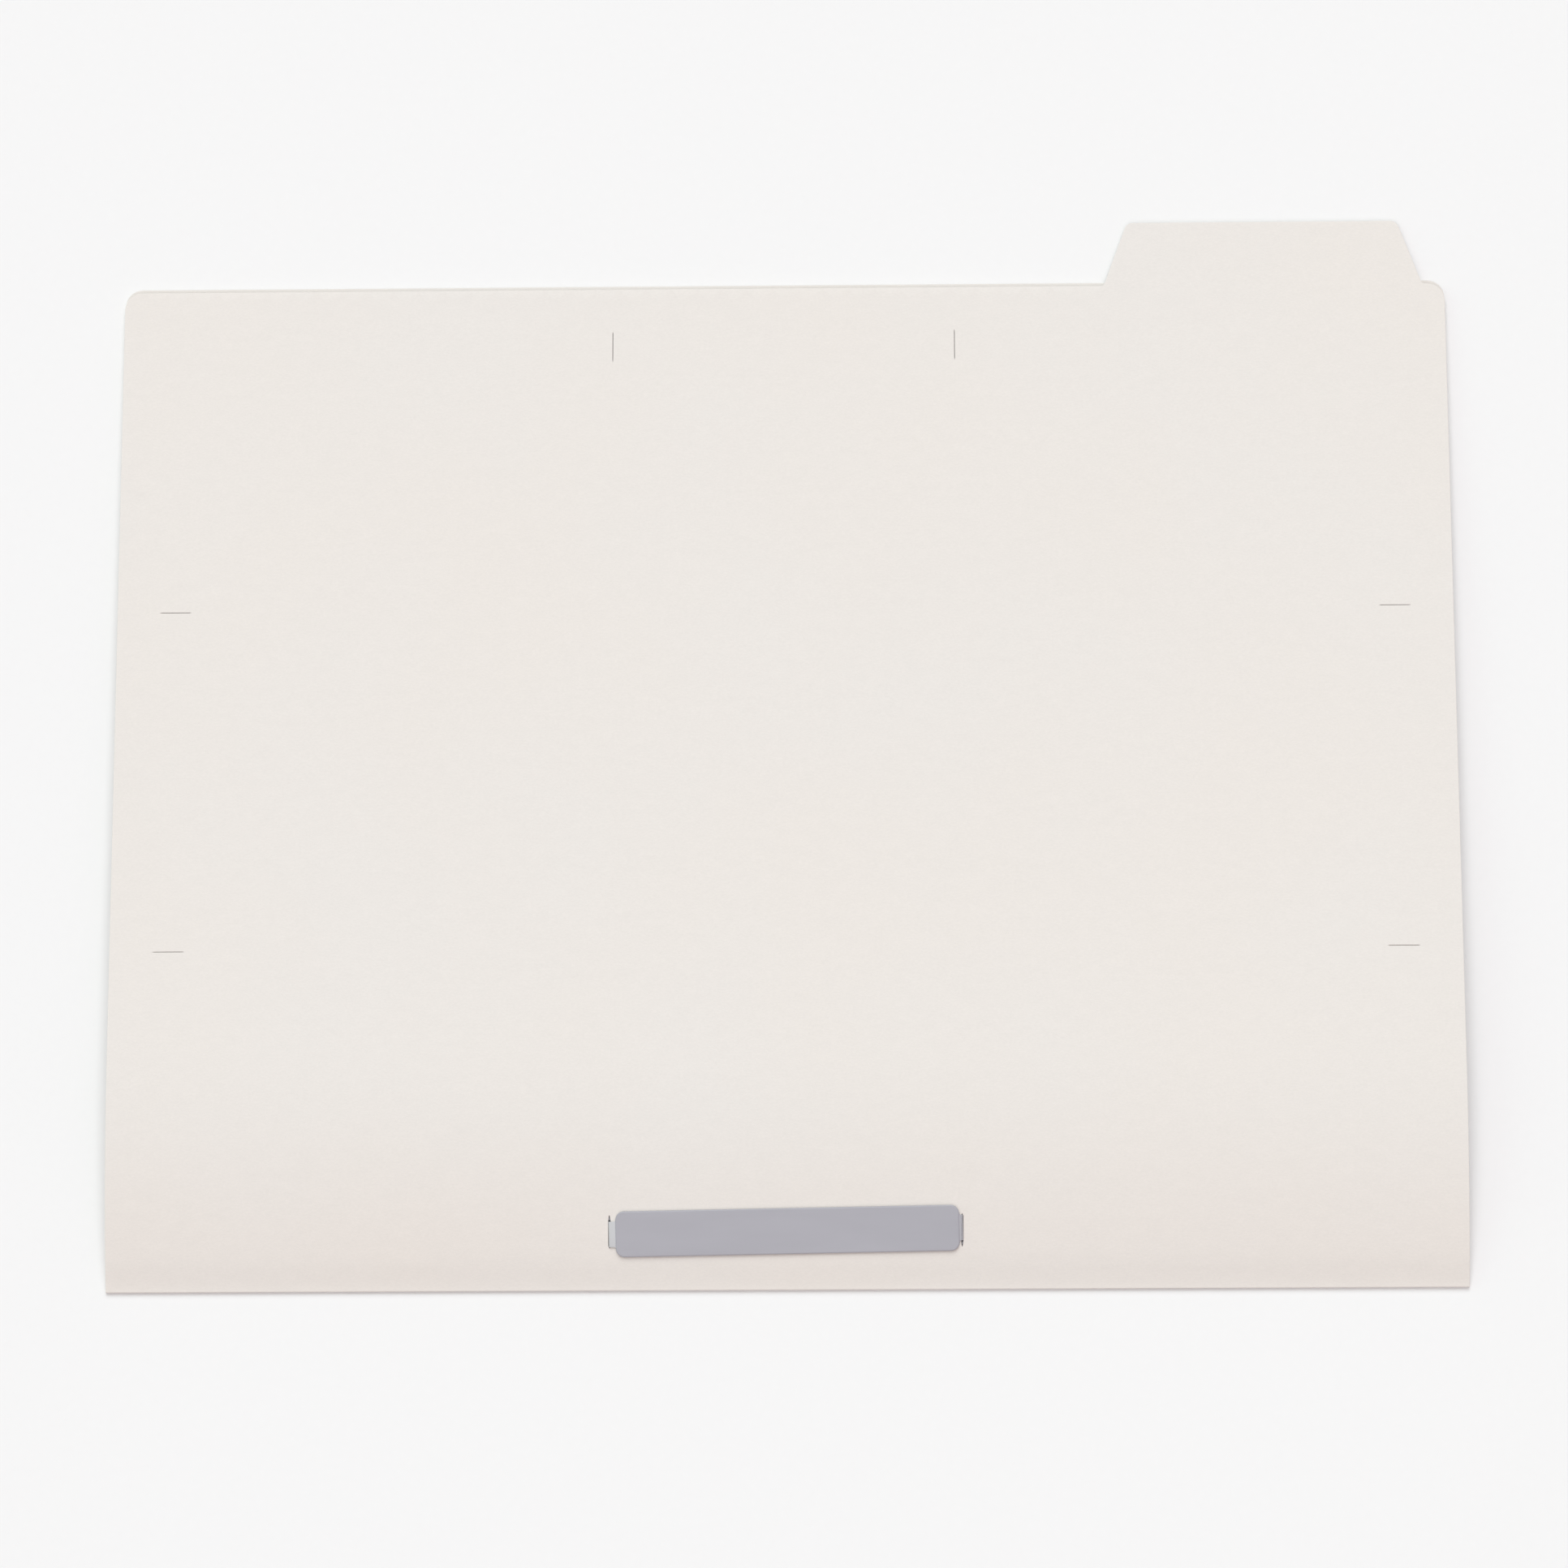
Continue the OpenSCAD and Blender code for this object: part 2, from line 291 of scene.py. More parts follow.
# ---------------------------------------------------------------- meshes
def clear_of(points, loops, gap):
    """Those of the points that are inside the solid part of the plan, more than gap from its edges."""
    points = np.array(points, float).reshape(-1, 2)
    nearest = np.full(len(points), 1e9)
    inside = np.zeros(len(points), bool)
    for loop in loops:
        a = np.array([tuple(p) for p in loop])
        b = np.roll(a, -1, axis=0)
        for p, q in zip(a, b):
            d = q - p
            t = np.clip(((points - p) @ d) / max(d @ d, 1e-12), 0, 1)
            nearest = np.minimum(nearest, np.linalg.norm(points - p - t[:, None] * d, axis=1))
            crosses = (p[1] > points[:, 1]) != (q[1] > points[:, 1])
            if p[1] != q[1]:
                at = p[0] + (points[:, 1] - p[1]) * d[0] / (q[1] - p[1])
                inside ^= crosses & (points[:, 0] < at)
    return points[inside & (nearest > gap)]


def smoothed(mesh):
    """Smooth shading, with hard edges left where faces meet steeply."""
    for face in mesh.polygons:
        face.use_smooth = True
    mesh.set_sharp_from_angle(angle=SHARP)


def finished(name, vertices, faces, material):
    """A mesh object with smooth shading and one material."""
    mesh = bpy.data.meshes.new(name)
    mesh.from_pydata([tuple(v) for v in vertices], [], faces)
    mesh.validate()
    mesh.update()
    obj = bpy.data.objects.new(name, mesh)
    bpy.context.scene.collection.objects.link(obj)
    mesh.materials.append(material)
    smoothed(mesh)
    return obj


def solid(name, outer, holes, wall, place, material, spread=(), support=0.0, seam=None, keep_in=None):
    """A solid with the plan outer, less holes, and walls that follow the steps of wall.

    place turns (plan x, plan y, level) into the row frame.  wall runs from the lowest level to the
    highest, as (inset, level).  spread holds plan points of the two broad faces, and support is how
    far in from its edges each face gets one more loop of points.
    Where seam is given, points on that row stay on it, so that the next piece meets them there.
    keep_in narrows the outer plan from one step of the wall on: (that step, greatest plan y).
    """
    vertices, faces = [], []
    ends = {0: [], 1: []}
    for number, loop in enumerate([outer, *holes]):
        rings = []
        for step, (d, level) in enumerate(wall):
            base = loop
            if keep_in and number == 0 and step >= keep_in[0]:
                base = [Vector((p.x, max(-keep_in[1], min(keep_in[1], p.y)))) for p in loop]
            ring = inset(base, d)
            if seam is not None:
                for p, q in zip(loop, ring):
                    if abs(p.y - seam) < 1e-6:
                        q.y = seam
            rings.append((ring, len(vertices)))
            vertices += [place(p.x, p.y, level) for p in ring]
        n = len(loop)
        for (_, a), (_, b) in zip(rings, rings[1:]):
            faces += [(a + i, a + (i + 1) % n, b + (i + 1) % n, b + i) for i in range(n)]
        ends[0].append(rings[0])
        ends[1].append(rings[-1])
    for top, rings in ends.items():
        level = wall[-1 if top else 0][1]
        plan, index, edges = [], [], []
        for ring, first in rings:
            start = len(plan)
            plan += ring
            index += [first + i for i in range(len(ring))]
            edges += [(start + i, start + (i + 1) % len(ring)) for i in range(len(ring))]
        loops = [ring for ring, _ in rings]
        near = [tuple(p) for ring in loops for p in inset(ring, support)] if support else []
        near = clear_of(near, loops, support * 0.6)
        wide = clear_of(spread, [inset(ring, support) for ring in loops], 0.5)
        for p in [*near, *wide]:
            plan.append(Vector((float(p[0]), float(p[1]))))
            index.append(len(vertices))
            vertices.append(place(float(p[0]), float(p[1]), level))
        found = delaunay_2d_cdt(plan, edges, [], 0, 1e-6)
        centres = [sum((found[0][i] for i in f), Vector((0, 0))) / len(f) for f in found[2]]
        kept = {tuple(np.round(c, 9)) for c in clear_of([tuple(c) for c in centres], loops, -1)}
        for f, c in zip(found[2], centres):
            if tuple(np.round(np.array(tuple(c), float), 9)) not in kept:
                continue
            corner = [index[found[3][i][0]] for i in f]
            faces.append(tuple(corner if top else reversed(corner)))
    return finished(name, vertices, faces, material)


def ring_points(half_w, half_t):
    """Rounded rectangle round the path of a ribbon, as (across, along its normal)."""
    r = min(PLASTIC_SOFT, 0.9 * half_w, 0.9 * half_t)
    return [tuple(p) for p in box_outline(-half_w, half_w, -half_t, half_t, r, EDGE_STEPS)]


def ribbon(name, stations, place, material):
    """A strip swept along stations of (x, level, angle of its normal, half width, half thickness)."""
    vertices, faces = [], []
    n = 0
    for x, level, a, half_w, half_t in stations:
        ring = ring_points(half_w, half_t)
        n = len(ring)
        for across, out in ring:
            vertices.append(place(x + out * math.sin(a), across, level + out * math.cos(a)))
    for k in range(len(stations) - 1):
        a, b = k * n, (k + 1) * n
        faces += [(a + i, a + (i + 1) % n, b + (i + 1) % n, b + i) for i in range(n)]
    faces.append(tuple(reversed(range(n))))
    faces.append(tuple(range(len(vertices) - n, len(vertices))))
    return finished(name, vertices, faces, material)


def turned_out(obj):
    """Turns the faces of a closed mesh outwards."""
    b = bmesh.new()
    b.from_mesh(obj.data)
    bmesh.ops.recalc_face_normals(b, faces=b.faces)
    b.to_mesh(obj.data)
    b.free()
    return obj


def joined(base, others):
    """base with the others added to it as one closed solid."""
    for other in others:
        step = base.modifiers.new("join", "BOOLEAN")
        step.operation = "UNION"
        step.solver = "EXACT"
        step.object = other
    graph = bpy.context.evaluated_depsgraph_get()
    mesh = bpy.data.meshes.new_from_object(base.evaluated_get(graph))
    base.modifiers.clear()
    base.data = mesh
    b = bmesh.new()
    b.from_mesh(mesh)
    bmesh.ops.remove_doubles(b, verts=b.verts, dist=2e-6)
    bmesh.ops.dissolve_degenerate(b, edges=b.edges, dist=1e-7)
    b.to_mesh(mesh)
    b.free()
    for other in others:
        bpy.data.objects.remove(other)
    smoothed(mesh)
    return base


def mark(obj, name, value):
    """Keeps value with each point under the name.  value is a number, or a function of the point."""
    layer = obj.data.attributes.new(name, "FLOAT", "POINT")
    for v, item in zip(obj.data.vertices, layer.data):
        item.value = value(v.co) if callable(value) else value


def painted_fold_shade(point):
    """How near the fold a point of the card is, from 0 to 1, which weighs the card's painted pink shade.
    Kept in the mesh, it moves with the card.
    """
    from_fold = point.y / MM - FOLD_AT
    return min(1.0, max(0.0, (FOLD_SHADE_END - from_fold) / (FOLD_SHADE_END - FOLD_SHADE_FULL)))


# ---------------------------------------------------------------- materials
def new_material(name):
    """A new material, with its node tree and its shader."""
    material = bpy.data.materials.new(name)
    material.use_nodes = True
    tree = material.node_tree
    return material, tree, tree.nodes["Principled BSDF"]


def noise(tree, vector, scale, detail, rough=0.5):
    """Noise from 0 to 1, with about scale features to the metre."""
    node = tree.nodes.new("ShaderNodeTexNoise")
    node.inputs["Scale"].default_value = scale
    node.inputs["Detail"].default_value = detail
    node.inputs["Roughness"].default_value = rough
    tree.links.new(vector, node.inputs["Vector"])
    return node.outputs["Fac"]


def stretched(tree, scale):
    """Object coordinates, scaled along each axis."""
    place = tree.nodes.new("ShaderNodeTexCoord")
    mapping = tree.nodes.new("ShaderNodeMapping")
    mapping.inputs["Scale"].default_value = scale
    tree.links.new(place.outputs["Object"], mapping.inputs["Vector"])
    return mapping.outputs["Vector"]


def marked(tree, name):
    """The value that mark() kept with the mesh under the name."""
    node = tree.nodes.new("ShaderNodeAttribute")
    node.attribute_name = name
    return node.outputs["Fac"]


def remap(tree, value, low, high, to_low, to_high):
    """The value moved from the range low to high into the range to_low to to_high."""
    node = tree.nodes.new("ShaderNodeMapRange")
    for name, v in (("From Min", low), ("From Max", high), ("To Min", to_low), ("To Max", to_high)):
        node.inputs[name].default_value = v
    tree.links.new(value, node.inputs["Value"])
    return node.outputs["Result"]


def math_node(tree, operation, a, b):
    """The result of an operation on a and b, each a number or a socket."""
    node = tree.nodes.new("ShaderNodeMath")
    node.operation = operation
    for socket, v in zip(node.inputs, (a, b)):
        if isinstance(v, (int, float)):
            socket.default_value = v
        else:
            tree.links.new(v, socket)
    return node.outputs["Value"]


def mixed(tree, factor, a, b, blend="MIX"):
    """Colours a and b mixed by factor; with no factor, b is blended over a in full."""
    node = tree.nodes.new("ShaderNodeMix")
    node.data_type = "RGBA"
    node.blend_type = blend
    if factor is None:
        node.inputs["Factor"].default_value = 1.0
    else:
        tree.links.new(factor, node.inputs["Factor"])
    for socket, v in ((node.inputs["A"], a), (node.inputs["B"], b)):
        if isinstance(v, tuple):
            socket.default_value = (*v, 1.0)
        else:
            tree.links.new(v, socket)
    return node.outputs["Result"]


def bump(tree, height, distance, strength, under=None):
    """The normal of a surface made rough by height, on top of the normal under."""
    node = tree.nodes.new("ShaderNodeBump")
    node.inputs["Distance"].default_value = distance
    node.inputs["Strength"].default_value = strength
    tree.links.new(height, node.inputs["Height"])
    if under:
        tree.links.new(under, node.inputs["Normal"])
    return node.outputs["Normal"]


def card_material():
    """Off-white filing card: fine fibres along the fold, a faint cloudiness, and painted pink shade
    towards the fold.
    """
    material, tree, shader = new_material("card_stock")
    even = stretched(tree, (1, 1, 1))
    along = stretched(tree, (0.55, 1, 1))
    cloud = noise(tree, even, 14, 3)
    mottle = noise(tree, along, 420, 4, 0.6)
    fibre = noise(tree, along, 2600, 5, 0.65)
    grain = noise(tree, even, 7000, 2)
    tone = math_node(tree, "ADD", math_node(tree, "MULTIPLY", mottle, 0.3),
                     math_node(tree, "MULTIPLY", fibre, 0.7))
    factor = remap(tree, tone, 0.32, 0.68, 0.0, 1.0)
    paper = mixed(tree, factor, (0.752, 0.722, 0.690), (0.802, 0.769, 0.735))
    warm = mixed(tree, factor, (0.756, 0.720, 0.682), (0.806, 0.766, 0.727))
    colour = mixed(tree, remap(tree, cloud, 0.35, 0.65, 0.0, 1.0), paper, warm)
    # Painted shade: the card is made pinker and a little darker towards the fold, where its slope turns
    # from the light.
    painted_shade_tint = mixed(tree, marked(tree, "painted_fold_shade"), (1.0, 1.0, 1.0), (1.0, 0.983, 0.974))
    tree.links.new(mixed(tree, None, colour, painted_shade_tint, "MULTIPLY"), shader.inputs["Base Color"])
    tree.links.new(remap(tree, mottle, 0.3, 0.7, 0.66, 0.8), shader.inputs["Roughness"])
    shader.inputs["Specular IOR Level"].default_value = 0.3
    soft = bump(tree, mottle, 0.000008, 0.5)
    fine = bump(tree, fibre, 0.000012, 0.5, soft)
    tree.links.new(bump(tree, grain, 0.000005, 0.4, fine), shader.inputs["Normal"])
    return material


def plastic_material():
    """Bluish grey moulded plastic with a satin skin, paler where it is thin."""
    material, tree, shader = new_material("grey_moulding")
    even = stretched(tree, (1, 1, 1))
    flow = noise(tree, stretched(tree, (0.25, 1, 1)), 160, 3)
    skin = noise(tree, even, 3200, 4, 0.6)
    cloud = noise(tree, even, 45, 2)
    thick = mixed(tree, remap(tree, flow, 0.3, 0.7, 0, 1), (0.386, 0.382, 0.421), (0.409, 0.405, 0.446))
    pale = mixed(tree, remap(tree, flow, 0.3, 0.7, 0, 1), (0.545, 0.550, 0.565), (0.575, 0.580, 0.595))
    tree.links.new(mixed(tree, marked(tree, "thin"), thick, pale), shader.inputs["Base Color"])
    rough = math_node(tree, "ADD", remap(tree, skin, 0.3, 0.7, 0.0, 0.08),
                      remap(tree, cloud, 0.3, 0.7, 0.30, 0.38))
    tree.links.new(rough, shader.inputs["Roughness"])
    shader.inputs["IOR"].default_value = 1.49
    tree.links.new(bump(tree, skin, 0.000006, 0.5), shader.inputs["Normal"])
    return material


def floor_material():
    """A plain table, almost white."""
    material, tree, shader = new_material("pale_table")
    even = stretched(tree, (1, 1, 1))
    factor = remap(tree, noise(tree, even, 500, 3), 0.3, 0.7, 0, 1)
    colour = mixed(tree, factor, (0.862, 0.862, 0.864), (0.868, 0.868, 0.870))
    tree.links.new(colour, shader.inputs["Base Color"])
    shader.inputs["Roughness"].default_value = 0.8
    shader.inputs["Specular IOR Level"].default_value = 0.2
    return material


# ---------------------------------------------------------------- camera
def set_camera():
    """The photograph's viewing angle: a long lens, almost straight down."""
    data = bpy.data.cameras.new("camera")
    data.sensor_width = 36
    data.lens = 125.55
    cam = bpy.data.objects.new("camera", data)
    bpy.context.scene.collection.objects.link(cam)
    turn = (
        Matrix.Rotation(math.radians(0.351), 4, "Z")
        @ Matrix.Rotation(math.radians(-1.078), 4, "Y")
        @ Matrix.Rotation(math.radians(-10.614), 4, "X")
    )
    cam.matrix_world = Matrix.Translation(Vector((23.56, -240.85, 1241.11)) * MM) @ turn.transposed()
    bpy.context.scene.camera = cam


set_camera()
CARD = card_material()
PLASTIC = plastic_material()


# ---------------------------------------------------------------- the folder's sheet
def spaced(start, end, step):
    """Numbers from start to end, evenly and about step apart."""
    count = max(1, round((end - start) / step))
    return [start + (end - start) * k / count for k in range(count + 1)]


def grid(xs, ys):
    """Every plan point with its x in xs and its y in ys."""
    return [(x, y) for y in ys for x in xs]


CARD_WALL = soft_wall(-CARD_T / 2, CARD_T / 2, CUT_SOFT)
COLUMNS = spaced(-SHEET_W / 2, SHEET_W / 2, 6)[1:-1]


def front_leaf():
    """The front panel, the fold and the start of the back panel, up to the seam."""
    seam = CREASE_LEN + ARCH_R * (FOLD_SLOPE - slope_at(SEAM_Y))
    far = FOLD_R - PANEL_D - FRONT_LIP
    rows = spaced(far, -2, 6) + [-1, -0.5] + spaced(0, CREASE_LEN, 0.06) + spaced(CREASE_LEN, seam, 1)[1:]
    w = SHEET_W / 2
    outline = rounded([(-w, far, CORNER_R), (w, far, CORNER_R), (w, seam, 0), (-w, seam, 0)])
    outline = cut_at_rows(outline, rows[1:-1], 6)
    leaf = solid("folder_front_leaf", outline, [], CARD_WALL, folded_point, CARD,
                 grid(COLUMNS, rows[1:-1]), CARD_SUPPORT, seam)
    # Weights for the painted pink shade near the fold.
    mark(leaf, "painted_fold_shade", painted_fold_shade)
    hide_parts("front_panel", "fold_crease")
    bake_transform(leaf)


def strap_gape(low_end, high_end):
    """Half opening of a slit that holds a strap from low_end to high_end, closing past them."""
    wide = STRAP_T / 2 + STRAP_ROOM

    def gape(v):
        past = max(low_end - v, v - high_end, 0)
        room = 1 - high_end if v > high_end else 1 + low_end
        return SLIT_TIP + (wide - SLIT_TIP) * max(0.0, 1 - past / max(room, 0.05)) ** 0.7
    return gape


def back_leaf():
    """The back panel from the seam on, with the index tab and all the slits."""
    w = SHEET_W / 2
    rows = spaced(SEAM_Y, 56, 1.5) + spaced(56, PANEL_D + TAB_H, 6)[1:]
    right = w - CORNER_R - TAB_LEDGE
    left = right - TAB_BASE_W
    top = PANEL_D + TAB_H
    outline = rounded([
        (-w, SEAM_Y, 0), (w, SEAM_Y, 0), (w, PANEL_D, CORNER_R), (right, PANEL_D, TAB_FOOT_R),
        (right - TAB_LEAN, top, TAB_R), (left + TAB_LEAN, top, TAB_R), (left, PANEL_D, TAB_FOOT_R),
        (-w, PANEL_D, CORNER_R)])
    outline = cut_at_rows(outline, rows[1:-1], 6)

    def free_gape(v):
        return max(0.0, SLIT_GAPE * (1 - abs(v) ** 16))

    holes = []
    for side in (-1, 1):
        x = side * SLIT_PITCH / 2
        holes.append(slit_outline(x, PANEL_D - TOP_SLIT_INSET, SLIT_LEN, True, free_gape))
        for end in (-1, 1):
            holes.append(slit_outline(side * (w - SIDE_SLIT_INSET), PANEL_D / 2 + end * SLIT_PITCH / 2,
                                      SLIT_LEN, False, free_gape))
        shift = side * SLIT_PITCH / 2 * math.sin(FASTENER_TURN)
        gape = strap_gape((shift - PRONG_W / 2) / (SLIT_LEN / 2), (shift + PRONG_W / 2) / (SLIT_LEN / 2))
        holes.append(slit_outline(x, FASTENER_Y, SLIT_LEN * math.cos(slope_at(FASTENER_Y)), True, gape))
    leaf = solid("folder_back_leaf", outline, holes, CARD_WALL, back_point, CARD,
                 grid(COLUMNS, rows[1:-1]), CARD_SUPPORT, SEAM_Y)
    # Weights for the painted pink shade near the fold.
    mark(leaf, "painted_fold_shade", painted_fold_shade)
    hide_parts("spine_strip", "back_panel")
    begin = FASTENER_Y + PLATE_W / 2 + FLEX_START
    back_point(0, begin, 0)
    back_point(0, FLEX_END, 0)
    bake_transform(leaf)


# ---------------------------------------------------------------- the fastener
PLATE_NEAR = CARD_T / 2 + FIT_GAP / 2
BAR_NEAR = -CARD_T / 2 - BAR_PLAY
BAR_FAR = BAR_NEAR - BAR_T
PRONG_AXIS = BAR_FAR - FIT_GAP - PRONG_T / 2
ROOF_NEAR = PRONG_AXIS - PRONG_T / 2 - FIT_GAP
ROOF_FAR = ROOF_NEAR - KEEPER_WALL
SLIT_X = SLIT_PITCH / 2
PLATE_L = SLIT_PITCH - 2 * NECK_LEN
PRONG_LEN = SLIT_X - KEEPER_LEN - 2 * KEEPER_SPACE


def strap(side):
    """The neck and the first part of the strap, down into the slit."""
    level = PLATE_NEAR + STRAP_T / 2
    stations = []
    end = PLATE_L / 2 + side * PLATE_SHIFT
    for x in (end - 1.5, end - 0.3, end, end + 0.08, end + 0.18, end + 0.3, end + 0.45):
        flare = STRAP_FLARE * math.exp(-max(0.0, x - end) / 0.16)
        inside = 0.05 if x < end else 0.0       # keeps the strap's faces off the plate's underside
        stations.append((side * x, level, 0.0, PRONG_W / 2 + flare, STRAP_T / 2 - inside))
    for k in range(9):
        a = math.pi / 2 * k / 8
        x = SLIT_X - STRAP_BEND + STRAP_BEND * math.sin(a)
        z = level - STRAP_BEND + STRAP_BEND * math.cos(a)
        stations.append((side * x, z, side * a, PRONG_W / 2, STRAP_T / 2))
    stations.append((side * SLIT_X, STRAP_CUT, side * math.pi / 2, PRONG_W / 2, STRAP_T / 2))
    return turned_out(ribbon("strap", stations, on_fastener, PLASTIC))


def fastener_base():
    """The plate outside the back panel, with a strap at each end."""
    top = PLATE_NEAR + PLATE_T
    wall = [(0.12, PLATE_NEAR), (0.04, PLATE_NEAR + 0.04), (0, PLATE_NEAR + 0.12)]
    wall += [(PLATE_SOFT * (1 - math.cos(a)), top - PLATE_SOFT * (1 - math.sin(a)))
             for a in [math.pi / 2 * k / 5 for k in range(6)]]
    outline = box_outline(PLATE_SHIFT - PLATE_L / 2, PLATE_SHIFT + PLATE_L / 2, -PLATE_W / 2, PLATE_W / 2,
                          PLATE_R, 12)
    outline = cut_at_rows(outline, [], 4)
    base = solid("base_moulding", outline, [], wall, on_fastener, PLASTIC,
                 grid(spaced(-38, 38, 4), spaced(-3.6, 3.6, 3.6)), PLASTIC_SUPPORT)
    turned_out(base)
    joined(base, [strap(-1), strap(1)])
    to_fastener = FASTENER.inverted()

    def pale(point):
        """Paleness of the thin necks: full on the left, and cut to 0.3 on the right as painted shade where
        that neck turns away into its slit.
        """
        x = (to_fastener @ point / MM).x
        past = abs(x - PLATE_SHIFT) - PLATE_L / 2 + 0.1
        # Painted shade: the right neck keeps only 0.3 of its paleness.
        return min(1.0, max(0.0, past / 0.25)) * (1.0 if x < 0 else 0.3)

    mark(base, "thin", pale)
    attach(base, "spine")
    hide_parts("fastener_base")


def prong(name, side, node):
    """A prong with its living hinge, folded flat towards the middle."""
    stations = [(side * SLIT_X, z, side * math.pi / 2, PRONG_W / 2, STRAP_T / 2)
                for z in (STRAP_CUT, -0.5, PRONG_AXIS + PRONG_BEND + 0.15)]
    for k in range(9):
        a = math.pi / 2 * k / 8
        x = SLIT_X - PRONG_BEND + PRONG_BEND * math.cos(a)
        z = PRONG_AXIS + PRONG_BEND - PRONG_BEND * math.sin(a)
        half_t = STRAP_T / 2 + (PRONG_T - STRAP_T) / 2 * k / 8
        stations.append((side * x, z, side * (math.pi / 2 + a), PRONG_W / 2, half_t))
    shoulder = PRONG_LEN - PRONG_TAPER
    # Distances from the hinge, closer together at the shoulder and at the rounded tip.
    steps = [0.5, 0.9, 3, 8, 14] + [shoulder + d for d in (-0.6, -0.2, 0.2, 0.6, 2)]
    steps += [PRONG_LEN - d for d in (2.2, PRONG_TIP_LEN, 0.7, 0.35, 0.12, 0)]
    for d in steps:
        t = max(0.0, (d - shoulder) / PRONG_TAPER)
        half_w = PRONG_W / 2 + (PRONG_TIP_W - PRONG_W) / 2 * t
        tip = max(0.0, (d - (PRONG_LEN - PRONG_TIP_LEN)) / PRONG_TIP_LEN)
        half_w *= math.sqrt(max(0.0, 1 - 0.8 * tip * tip))
        half_t = PRONG_T / 2 * math.sqrt(max(0.1, 1 - 0.75 * tip ** 3))
        stations.append((side * (SLIT_X - d), PRONG_AXIS, side * math.pi, half_w, half_t))
    piece = turned_out(ribbon(name, stations, on_fastener, PLASTIC))
    mark(piece, "thin", 0.65)
    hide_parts(node)
    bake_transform(piece)


def retainer_bar():
    """The slotted bar inside, with a thin lip along each side that the keepers hold."""
    half_l = SLIT_X + BAR_OVERHANG
    outline = cut_at_rows(box_outline(-half_l, half_l, -BAR_W / 2, BAR_W / 2, BAR_R, 12), [], 4)
    shelf = BAR_NEAR - LIP_T - FIT_GAP
    inner = BAR_W / 2 - LIP_W - FIT_GAP
    wall = soft_wall(BAR_FAR, shelf, 0.1)[:-1] + [(0.1, shelf), (0, shelf), (0, BAR_NEAR - 0.08),
                                                 (0.025, BAR_NEAR - 0.025), (0.08, BAR_NEAR)]
    first_narrow = len(wall) - 4
    holes = []
    for side in (-1, 1):
        mid = side * (SLIT_X + (SLOT_OUT - SLOT_IN) / 2)
        half = (SLOT_IN + SLOT_OUT) / 2
        y = PRONG_W / 2 + SLOT_GAP
        holes.append(list(reversed(box_outline(mid - half, mid + half, -y, y, 0.35, 4))))
    bar = solid("bar_moulding", outline, holes, wall, on_fastener, PLASTIC,
                grid(spaced(-46, 46, 4), spaced(-3, 3, 3)), PLASTIC_SUPPORT, keep_in=(first_narrow, inner))
    turned_out(bar)
    mark(bar, "thin", 0.12)
    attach(bar, "bar")
    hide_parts("retainer_bar")


def keeper(name, side, body, node):
    """A sleeve round the bar with five low grip ridges across its roof."""
    inner = BAR_W / 2 + FIT_GAP
    outer = inner + KEEPER_WALL
    lip = BAR_W / 2 - LIP_W
    under = BAR_NEAR - LIP_T
    outline = rounded([
        (-outer, ROOF_FAR, 0.45), (outer, ROOF_FAR, 0.45), (outer, BAR_NEAR, 0.1),
        (lip, BAR_NEAR, 0.1), (lip, under, 0.1), (inner, under, 0.08), (inner, ROOF_NEAR, 0.12),
        (-inner, ROOF_NEAR, 0.12), (-inner, under, 0.08), (-lip, under, 0.1), (-lip, BAR_NEAR, 0.1),
        (-outer, BAR_NEAR, 0.1)], 4)
    outline = cut_at_rows(outline, [], 1.2)
    middle = side * (KEEPER_SPACE + KEEPER_LEN / 2)
    half = KEEPER_LEN / 2
    ends = soft_wall(middle - half, middle + half, 0.08)
    fine = [(0, x) for x in spaced(middle - half + 0.3, middle + half - 0.3, 0.1)]
    wall = ends[:EDGE_STEPS + 1] + fine + ends[EDGE_STEPS + 1:]

    def place(y, level, x):
        inside = outer - RIDGE_MARGIN - abs(y)
        if level < ROOF_FAR + 0.02 and inside > 0:
            ridge = (x - middle) / RIDGE_PITCH
            if abs(ridge) < RIDGE_COUNT / 2:
                level -= RIDGE_H * math.cos(math.pi * ridge) ** 4 * min(1, inside / RIDGE_FADE)
        return on_fastener(x, y, level)

    piece = turned_out(solid(name, outline, [], wall, place, PLASTIC))
    mark(piece, "thin", 0.3)
    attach(piece, body)
    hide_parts(node)


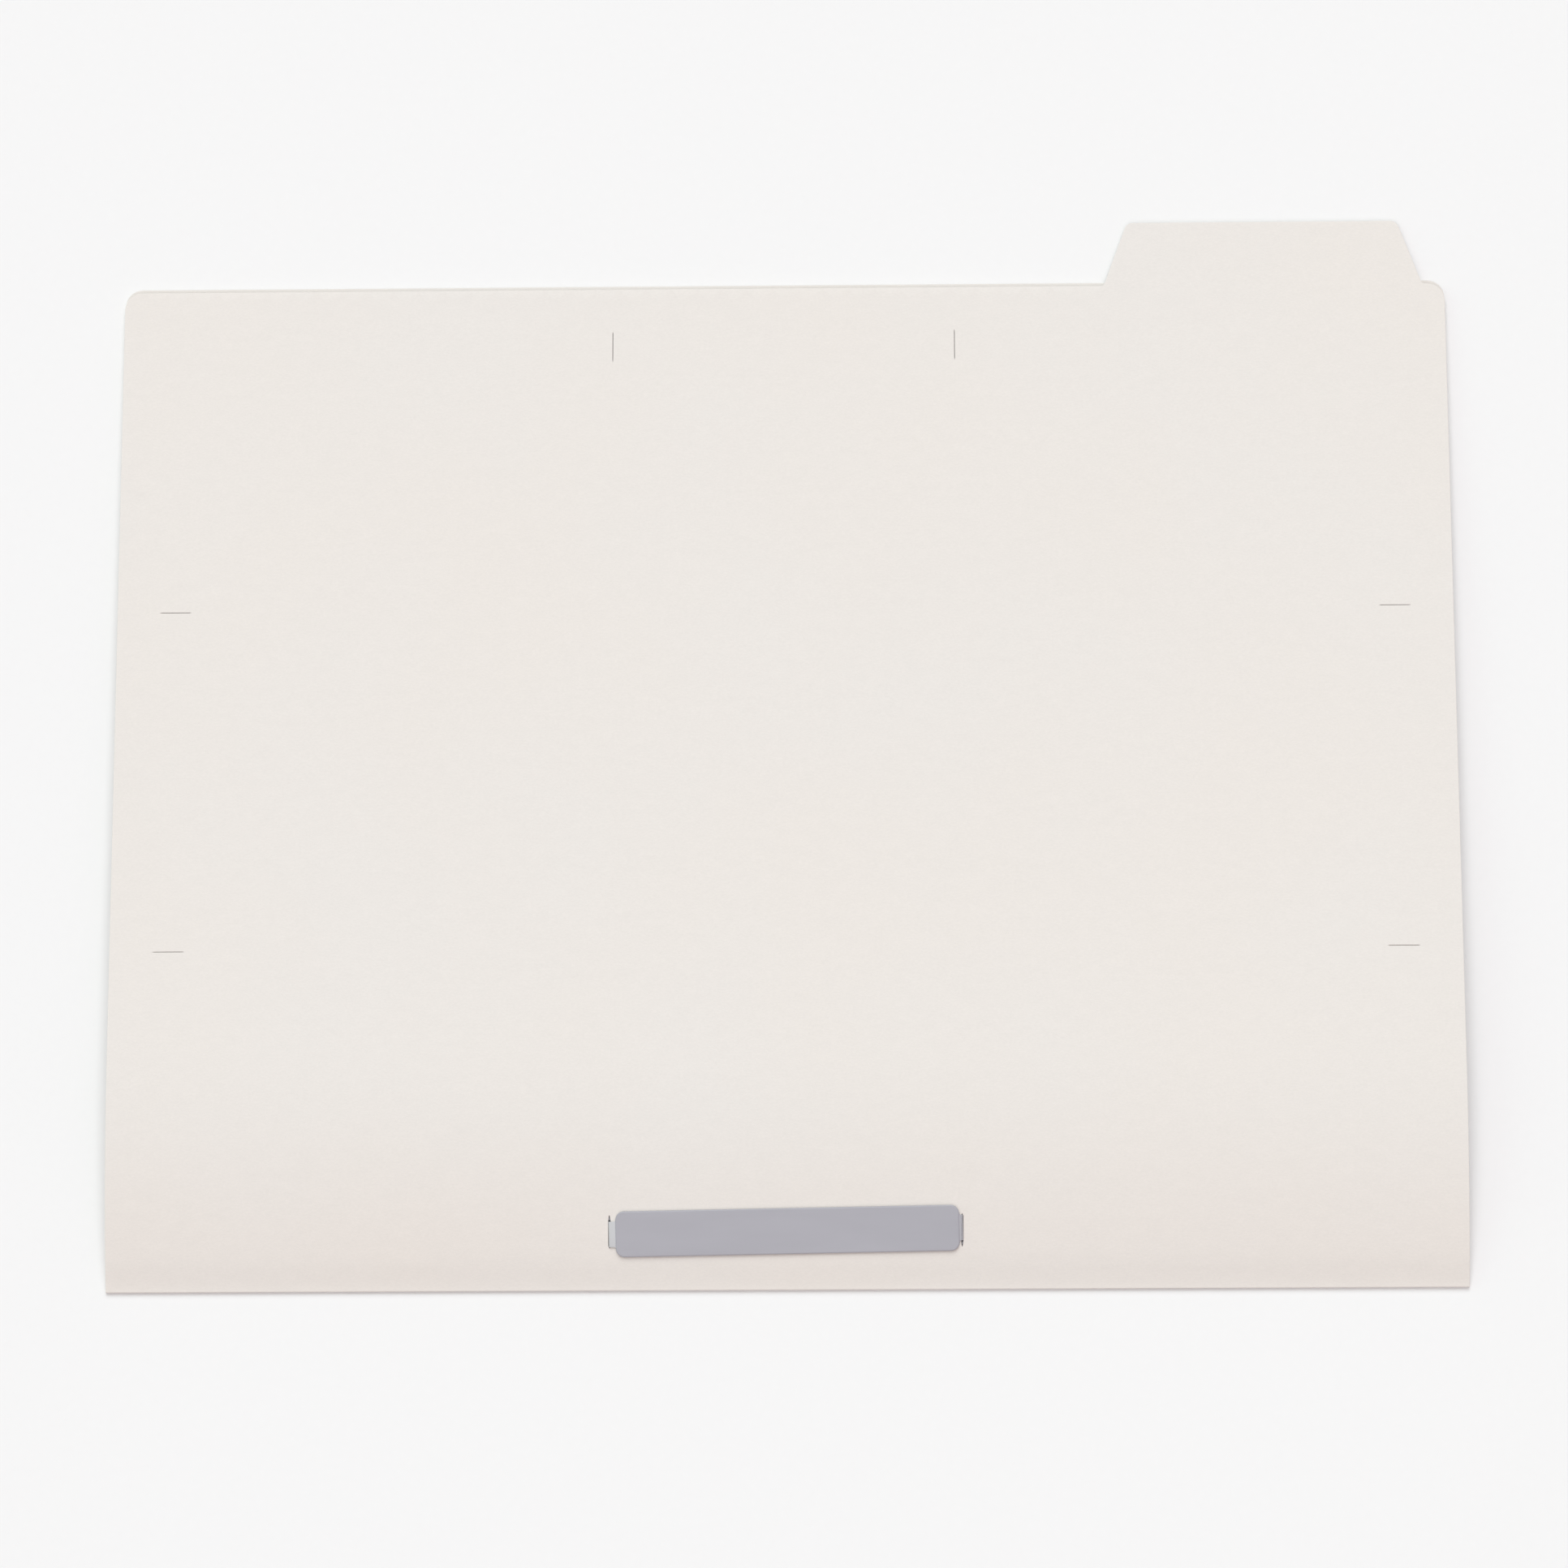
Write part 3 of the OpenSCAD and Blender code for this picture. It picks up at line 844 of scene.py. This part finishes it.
# ---------------------------------------------------------------- floor and light
def stage():
    """A wide pale table, just clear of the card that lies on it."""
    half = 3.0
    level = -0.05 * MM
    corners = [(-half, -half, level), (half, -half, level), (half, half, level), (-half, half, level)]
    mesh = bpy.data.meshes.new("floor")
    mesh.from_pydata(corners, [], [(0, 1, 2, 3)])
    floor = bpy.data.objects.new("floor", mesh)
    mesh.materials.append(floor_material())
    bpy.context.scene.collection.objects.link(floor)


def sun(name, towards, strength, softness, colour):
    """Even light from the direction towards, whose shadows are softness degrees wide."""
    data = bpy.data.lights.new(name, "SUN")
    data.energy = strength
    data.angle = math.radians(softness)
    data.color = colour
    light = bpy.data.objects.new(name, data)
    light.rotation_mode = "QUATERNION"
    light.rotation_quaternion = Vector(towards).to_track_quat("Z", "Y")
    bpy.context.scene.collection.objects.link(light)


def lighting():
    """Soft light from behind the folder, weaker light from the front and the left, and a pale room."""
    world = bpy.data.worlds.new("soft_room")
    bpy.context.scene.world = world
    world.use_nodes = True
    tree = world.node_tree
    room = tree.nodes["Background"]
    room.inputs["Color"].default_value = (1.09, 0.955, 0.985, 1)
    room.inputs["Strength"].default_value = 0.335
    backdrop = tree.nodes.new("ShaderNodeBackground")
    backdrop.inputs["Color"].default_value = (0.93, 0.93, 0.93, 1)
    path = tree.nodes.new("ShaderNodeLightPath")
    mix = tree.nodes.new("ShaderNodeMixShader")
    tree.links.new(path.outputs["Is Camera Ray"], mix.inputs["Fac"])
    tree.links.new(room.outputs["Background"], mix.inputs[1])
    tree.links.new(backdrop.outputs["Background"], mix.inputs[2])
    tree.links.new(mix.outputs["Shader"], tree.nodes["World Output"].inputs["Surface"])
    sun("key", (0.0, 0.75, 1.0), 1.88, 50, (0.972, 1.035, 1.027))
    sun("fill", (-0.1, -0.6, 1.0), 0.8, 60, (1.02, 0.99, 0.98))
    sun("side", (-2.2, 0.3, 1.0), 0.25, 40, (0.75, 1.3, 1.1))
    bpy.context.scene.view_settings.view_transform = "Standard"


front_leaf()
back_leaf()
fastener_base()
prong("left_prong_strap", -1, "prong_left")
prong("right_prong_strap", 1, "prong_right")
retainer_bar()
keeper("left_keeper_sleeve", -1, "left_keeper", "keeper_left")
keeper("right_keeper_sleeve", 1, "right_keeper", "keeper_right")
stage()
lighting()
